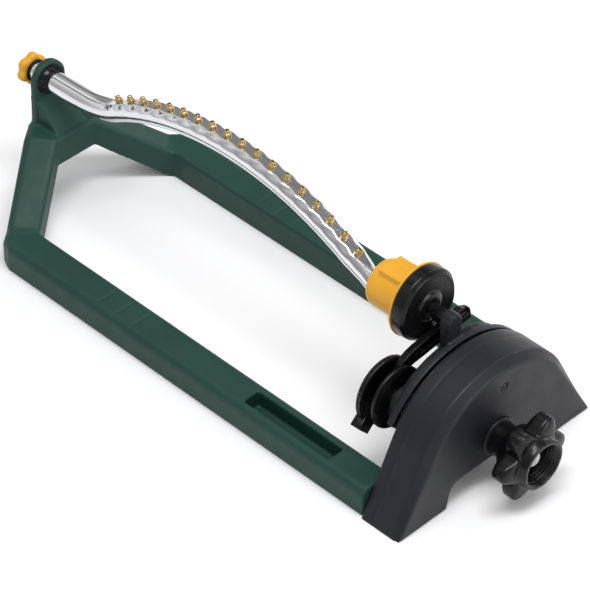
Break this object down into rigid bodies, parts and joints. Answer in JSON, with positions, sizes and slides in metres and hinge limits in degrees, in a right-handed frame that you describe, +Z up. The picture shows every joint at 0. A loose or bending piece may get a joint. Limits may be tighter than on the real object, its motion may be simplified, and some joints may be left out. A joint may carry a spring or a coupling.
{
  "type": "oscillating lawn sprinkler",
  "caption": "Oscillating lawn sprinkler: an arched spray tube with nozzles, rocked by a water-driven crank and link on a low open frame with a hose inlet nut.",
  "frame": {"origin": "bottom centre of the bounding box, on the ground the sprinkler stands on", "axes": "+X towards the hose inlet along the long axis, +Y across the frame, +Z up"},
  "size_m": [0.4336, 0.162, 0.1279],
  "materials": {
    "frame_green": "dark green moulded plastic, satin with a fine moulded grain",
    "cover_charcoal": "charcoal moulded plastic, satin",
    "drive_black": "black moulded plastic, semi-gloss",
    "accent_yellow": "yellow-orange moulded plastic, semi-gloss",
    "tube_aluminium": "bright drawn aluminium",
    "nozzle_brass": "turned brass",
    "gear_white": "natural acetal",
    "seal_rubber": "black rubber",
    "screen_steel": "stainless steel"
  },
  "bodies": {
    "base": {"frame": "frame_green", "rear_bush": "drive_black", "front_cover": "cover_charcoal", "cover_screw": "screen_steel", "gear_housing": "cover_charcoal", "housing_plate": "drive_black", "turbine_chamber": "gear_white", "inlet_spigot": "drive_black", "hose_washer": "seal_rubber", "filter_screen": "screen_steel", "outlet_spigot": "drive_black", "idler_axle": "screen_steel"},
    "hose_nut": {"hose_nut": "drive_black"},
    "spray_bar": {"spray_tube": "tube_aluminium", "tube_collar": "accent_yellow", "drive_disc": "drive_black", "rocker_pin": "screen_steel", "swivel_seal": "seal_rubber", "plug_seal": "seal_rubber", "nozzle_01": "nozzle_brass", "nozzle_02": "nozzle_brass", "nozzle_03": "nozzle_brass", "nozzle_04": "nozzle_brass", "nozzle_05": "nozzle_brass", "nozzle_06": "nozzle_brass", "nozzle_07": "nozzle_brass", "nozzle_08": "nozzle_brass", "nozzle_09": "nozzle_brass", "nozzle_10": "nozzle_brass", "nozzle_11": "nozzle_brass", "nozzle_12": "nozzle_brass", "nozzle_13": "nozzle_brass", "nozzle_14": "nozzle_brass", "nozzle_15": "nozzle_brass", "nozzle_16": "nozzle_brass", "nozzle_17": "nozzle_brass", "nozzle_18": "nozzle_brass"},
    "cleanout_plug": {"cleanout_plug": "accent_yellow"},
    "link": {"link_rod": "drive_black"},
    "crank": {"crank_wheel": "drive_black", "crank_pin": "screen_steel", "crank_arm": "drive_black", "crank_shaft": "gear_white", "crank_gear": "gear_white"},
    "pattern_dial": {"pattern_dial": "drive_black"},
    "idler": {"idler_gear": "gear_white"},
    "turbine": {"turbine_wheel": "gear_white", "turbine_shaft": "screen_steel"}
  },
  "joints": [
    {"name": "tube_swing", "type": "hinge", "parent": "base", "child": "spray_bar", "pos_m": [0.1178, 0, 0.0924], "axis": [0.9992, 0, 0.0391], "range_deg": [-43, 43]},
    {"name": "link_pivot", "type": "hinge", "parent": "spray_bar", "child": "link", "pos_m": [0.13095, 0.00453, 0.076], "axis": [0.9992, 0, 0.0391], "range_deg": [-46, 46]},
    {"name": "crank_turn", "type": "hinge", "parent": "base", "child": "crank", "pos_m": [0.13733, -0.0365, 0.05363], "axis": [0.9992, 0, 0.0391], "range_deg": [-50, 50]},
    {"name": "dial_set", "type": "hinge", "parent": "crank", "child": "pattern_dial", "pos_m": [0.12634, -0.0365, 0.0532], "axis": [0.9992, 0, 0.0391], "range_deg": [-60, 60]},
    {"name": "idler_spin", "type": "hinge", "parent": "base", "child": "idler", "pos_m": [0.14638, -0.02803, 0.05249], "axis": [0.9992, 0, 0.0391], "range_deg": [-163, 163]},
    {"name": "turbine_spin", "type": "hinge", "parent": "base", "child": "turbine", "pos_m": [0.15948, -0.01731, 0.05013], "axis": [0.9992, 0, 0.0391], "range_deg": [-730, 730]},
    {"name": "nut_turn", "type": "hinge", "parent": "base", "child": "hose_nut", "pos_m": [0.2018, 0, 0.03], "axis": [1, 0, 0], "continuous": true},
    {"name": "plug_turn", "type": "hinge", "parent": "spray_bar", "child": "cleanout_plug", "pos_m": [-0.21295, 0, 0.07946], "axis": [0.9992, 0, 0.0391], "continuous": true}
  ],
  "couplings": [
    {"joint": "link_pivot", "follows": "tube_swing", "ratio": -1.05},
    {"joint": "crank_turn", "follows": "tube_swing", "ratio": 1.15},
    {"joint": "idler_spin", "follows": "tube_swing", "ratio": -3.7375},
    {"joint": "turbine_spin", "follows": "tube_swing", "ratio": 16.819}
  ]
}
